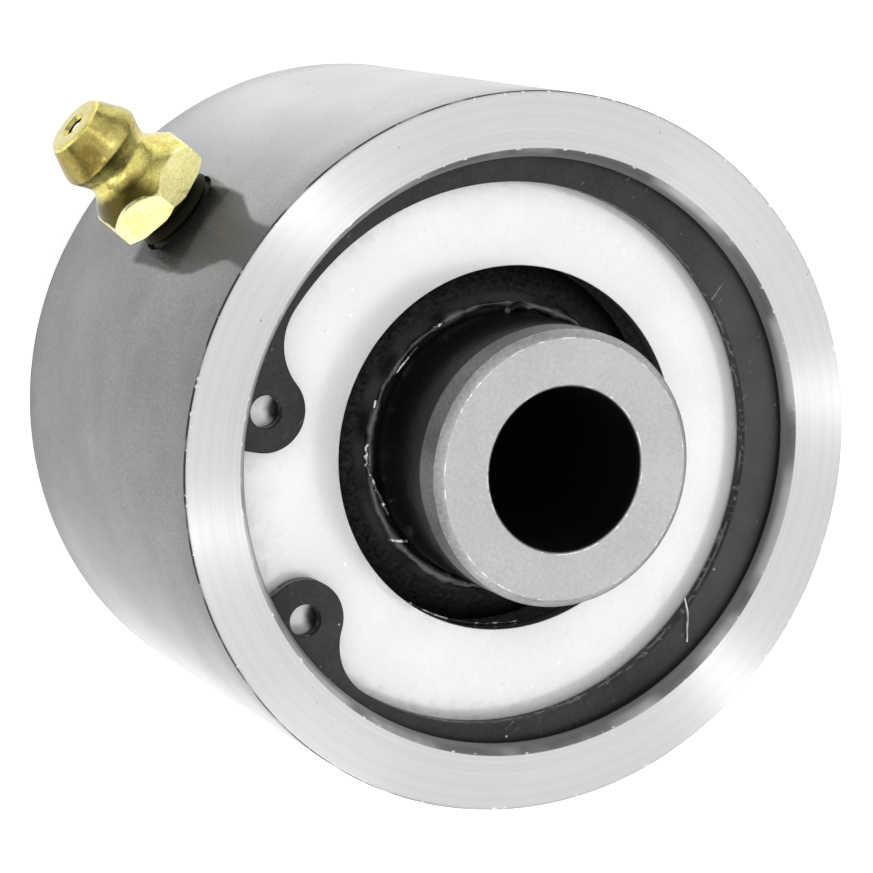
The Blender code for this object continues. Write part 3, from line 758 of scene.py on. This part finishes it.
def buildNipple(finish):
    size = {"seat": 26.9 * mm, "shank": 3.18 * mm, "end": 21.6 * mm, "flats": 7.94 * mm,
            "channel": 1.45 * mm, "outlet": 0.9 * mm, "mouth": 1.02 * mm, "inlet": 0.78 * mm,
            "spring": 24.05 * mm}
    steps = [(2.1, 8.45), (2.35, 8.25), (3.05, 6.75), (3.3, 6.15), (3.3, 5.75), (2.9, 4.95),
             (2.72, 4.4), (2.78, 3.95), (3.15, 3.4), (3.55, 3.05), (4.75, 1.45), (4.75, 0.5), (4.1, 0)]
    rounds = {0: (0.06, 2), 3: (0.3, 4), 4: (0.3, 4), 2: (0.3, 3), 5: (0.35, 4), 6: (0.25, 3), 8: (0.25, 3)}
    outside = [(r * mm, size["seat"] + h * mm) for r, h in steps]
    tip = outside[0][1]
    thread = [(size["shank"], size["seat"])]   # the threaded shank, root and crest in turn
    pitch, count = 0.9 * mm, 5
    for turnNumber in range(count):
        top = size["seat"] - 0.35 * mm - turnNumber * pitch
        thread += [(size["shank"], top), (size["shank"] - 0.45 * mm, top - pitch * 0.45)]
    thread += [(size["shank"] - 0.35 * mm, size["end"])]
    channel = [(size["outlet"], size["end"]), (size["outlet"], size["spring"]),
               (size["channel"], size["spring"]), (size["channel"], tip - 0.8 * mm),
               (size["inlet"], tip - 0.28 * mm), (size["mouth"], tip)]
    piece = turn("greaseNipple", outside + thread + channel, steps=72)
    roundRings(piece, [(*outside[place], width * mm, segments)
                       for place, (width, segments) in rounds.items()])
    clearSelection()
    bpy.ops.mesh.primitive_cylinder_add(vertices=6, radius=size["flats"] / math.sqrt(3), depth=20 * mm,
                                        location=(0, 0, size["seat"]), rotation=(0, 0, nippleTwist))
    cut(piece, bpy.context.object, "INTERSECT")
    apply(piece, "BEVEL", width=0.15 * mm, segments=3, limit_method="ANGLE",
          angle_limit=math.radians(24), use_clamp_overlap=True)
    pointOut(piece)
    smooth(piece, 30)
    apply(piece, "WEIGHTED_NORMAL", keep_sharp=True)
    finishPiece(piece, "housing", "yellow_zinc", finish, "grease_nipple")


def buildCheckBall(finish):
    size = {"radius": 1.2 * mm, "centre": 33.95 * mm}
    clearSelection()
    bpy.ops.mesh.primitive_cube_add(size=size["radius"] * 2)
    piece = bpy.context.object
    piece.name = piece.data.name = "checkBall"
    bpy.ops.object.mode_set(mode="EDIT")
    bpy.ops.mesh.select_all(action="SELECT")
    bpy.ops.mesh.subdivide(number_cuts=11)
    bpy.ops.mesh.select_all(action="SELECT")
    bpy.ops.transform.tosphere(value=1.0)
    bpy.ops.object.mode_set(mode="OBJECT")
    reach = max(vertex.co.length for vertex in piece.data.vertices)
    piece.scale = [size["radius"] / reach] * 3
    piece.location = (0, -size["centre"], 0)
    bpy.ops.object.transform_apply(location=True, rotation=True, scale=True)
    smooth(piece, 60)
    finishPiece(piece, "check_ball", "bright_steel", finish, "nipple_check_ball")


def buildSpring(finish):
    size = {"wire": 0.2 * mm, "coil": 1.05 * mm, "turns": 7, "travel": 1.0 * mm}
    low = -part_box("nipple_spring")[1].y + size["wire"]
    high = -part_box("nipple_spring")[0].y - size["wire"]
    clearSelection()
    bpy.ops.mesh.primitive_circle_add(vertices=12, radius=size["wire"], fill_type="NOTHING",
                                      location=(size["coil"], 0, low), rotation=(math.pi / 2, 0, 0))
    piece = bpy.context.object
    piece.name = piece.data.name = "nippleSpring"
    bpy.ops.object.transform_apply(location=True, rotation=True, scale=True)
    apply(piece, "SCREW", steps=28, render_steps=28, iterations=size["turns"],
          screw_offset=(high - low) / size["turns"], use_merge_vertices=False)
    bpy.ops.object.mode_set(mode="EDIT")
    bpy.ops.mesh.select_all(action="SELECT")
    bpy.ops.mesh.remove_doubles(threshold=mm / 1000)
    bpy.ops.mesh.select_all(action="DESELECT")
    bpy.ops.mesh.select_non_manifold()
    bpy.ops.mesh.fill_holes(sides=0)
    bpy.ops.mesh.select_all(action="SELECT")
    bpy.ops.mesh.normals_make_consistent(inside=False)
    bpy.ops.object.mode_set(mode="OBJECT")
    pointOut(piece)
    smooth(piece, 50)
    finishPiece(piece, "housing", "bright_steel", finish, "nipple_spring")
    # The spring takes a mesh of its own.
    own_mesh(piece)


# ---- studio


def placeCamera():
    view = {"away": 241.65 * mm, "round": 16.96, "above": 64.02, "roll": 110.9, "lens": 133.7,
            "target": Vector((0.67, 1.29, 0.51)) * mm}
    turnBy, rise = math.radians(view["round"]), math.radians(view["above"])
    back = Vector((math.sin(turnBy) * math.cos(rise), -math.cos(turnBy) * math.cos(rise),
                   math.sin(rise)))
    data = bpy.data.cameras.new("camera")
    data.lens = view["lens"]
    data.sensor_width = 36
    data.clip_start = 0.01
    camera = bpy.data.objects.new("camera", data)
    bpy.context.scene.collection.objects.link(camera)
    camera.location = view["target"] + back * view["away"]
    level = (-back).to_track_quat("-Z", "Y").to_matrix()
    camera.rotation_mode = "QUATERNION"
    rolled = Matrix.Rotation(math.radians(view["roll"]), 3, back) @ level
    camera.rotation_quaternion = rolled.to_quaternion()
    bpy.context.scene.camera = camera


def addLight(name, towards, size, power, stretch):         # all stand at one distance
    away = 0.6
    data = bpy.data.lights.new(name, "AREA")
    data.shape = "RECTANGLE"
    data.size = size
    data.size_y = size * stretch
    data.energy = power
    light = bpy.data.objects.new(name, data)
    bpy.context.scene.collection.objects.link(light)
    direction = Vector(towards).normalized()
    light.location = direction * away
    light.rotation_euler = direction.to_track_quat("Z", "Y").to_euler()


def buildDome():                               # white overhead, greyer towards the horizon
    dome = {"zenith": 1.22, "horizon": 0.25, "from": 0.0, "to": 0.60}
    world = bpy.data.worlds.new("studio")
    world.use_nodes = True
    nodes, links = world.node_tree.nodes, world.node_tree.links
    place = nodes.new("ShaderNodeTexCoord")
    parts = nodes.new("ShaderNodeSeparateXYZ")
    links.new(place.outputs["Generated"], parts.inputs[0])
    rise = nodes.new("ShaderNodeMapRange")
    rise.interpolation_type = "SMOOTHSTEP"
    for name, value in (("From Min", dome["from"]), ("From Max", dome["to"]),
                        ("To Min", dome["horizon"]), ("To Max", dome["zenith"])):
        rise.inputs[name].default_value = value
    links.new(parts.outputs["Z"], rise.inputs["Value"])
    nodes["Background"].inputs["Color"].default_value = (1, 1, 1, 1)
    links.new(rise.outputs["Result"], nodes["Background"].inputs["Strength"])
    bpy.context.scene.world = world


def buildStudio():
    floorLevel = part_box("centre_ball")[0].z - 0.02 * mm      # a hair below the sleeve's end
    clearSelection()
    bpy.ops.mesh.primitive_plane_add(size=3.0, location=(0, 0, floorLevel))
    floor = bpy.context.object
    floor.name = "floor"
    paint = Finish("litPaper", Roughness=0.9, Base_Color=(0.93, 0.93, 0.93, 1), Emission_Color=(1, 1, 1, 1),
                   Emission_Strength=0.36)
    floor.data.materials.append(paint.material)
    buildDome()
    bpy.context.scene.view_settings.view_transform = "Standard"
    for name, towards, size, power, stretch in (
            ("overhead", (-0.128, 0.419, 0.899), 0.42, 0.10, 1.0),
            ("wedgeLow", (-0.063, 0.875, 0.48), 0.03, 0.125, 1.6),
            ("wedgeSide", (-0.464, 0.731, 0.50), 0.03, 0.125, 1.6),
            ("wedgeNear", (0.427, -0.072, 0.90), 0.03, 0.14, 1.6),
            ("wedgeLeft", (-0.241, -0.312, 0.919), 0.03, 0.185, 1.6),
            ("headGlint", (-0.19, -0.54, 0.82), 0.03, 0.07, 1.6),
            ("sideBox", (0.83, 0.42, 0.36), 0.30, 0.42, 1.0)):
        addLight(name, towards, size, power, stretch)


print("finishes")
turnedSteel = makeTurnedSteel("turnedSteel")
zincPlate = makeZincPlate("zincPlate")
blackOxide = makeBlackOxide("blackOxide")
urethane = makeUrethane("blackUrethane")
grease = makeGrease("darkGrease")
glossyString = makeGlossyString("glossyString")
lint = makeLint("lint")
ballSteel = makeBallSteel("ballSteel", 20.5 * mm)
yellowZinc = makeYellowZinc("yellowZinc")
brightSteel = makeBrightSteel("brightSteel")

print("housing")
buildHousing(turnedSteel)
print("washers and races")
buildWashers(zincPlate)
buildRaces(urethane)
print("ball")
buildBall(ballSteel)
print("snap ring")
buildSnapRing(blackOxide)
print("grease")
buildGrease(grease)
buildStrands(glossyString, grease, lint)
print("nipple")
buildNipple(yellowZinc)
buildCheckBall(brightSteel)
buildSpring(brightSteel)
print("studio")
placeCamera()
buildStudio()

clearSelection()
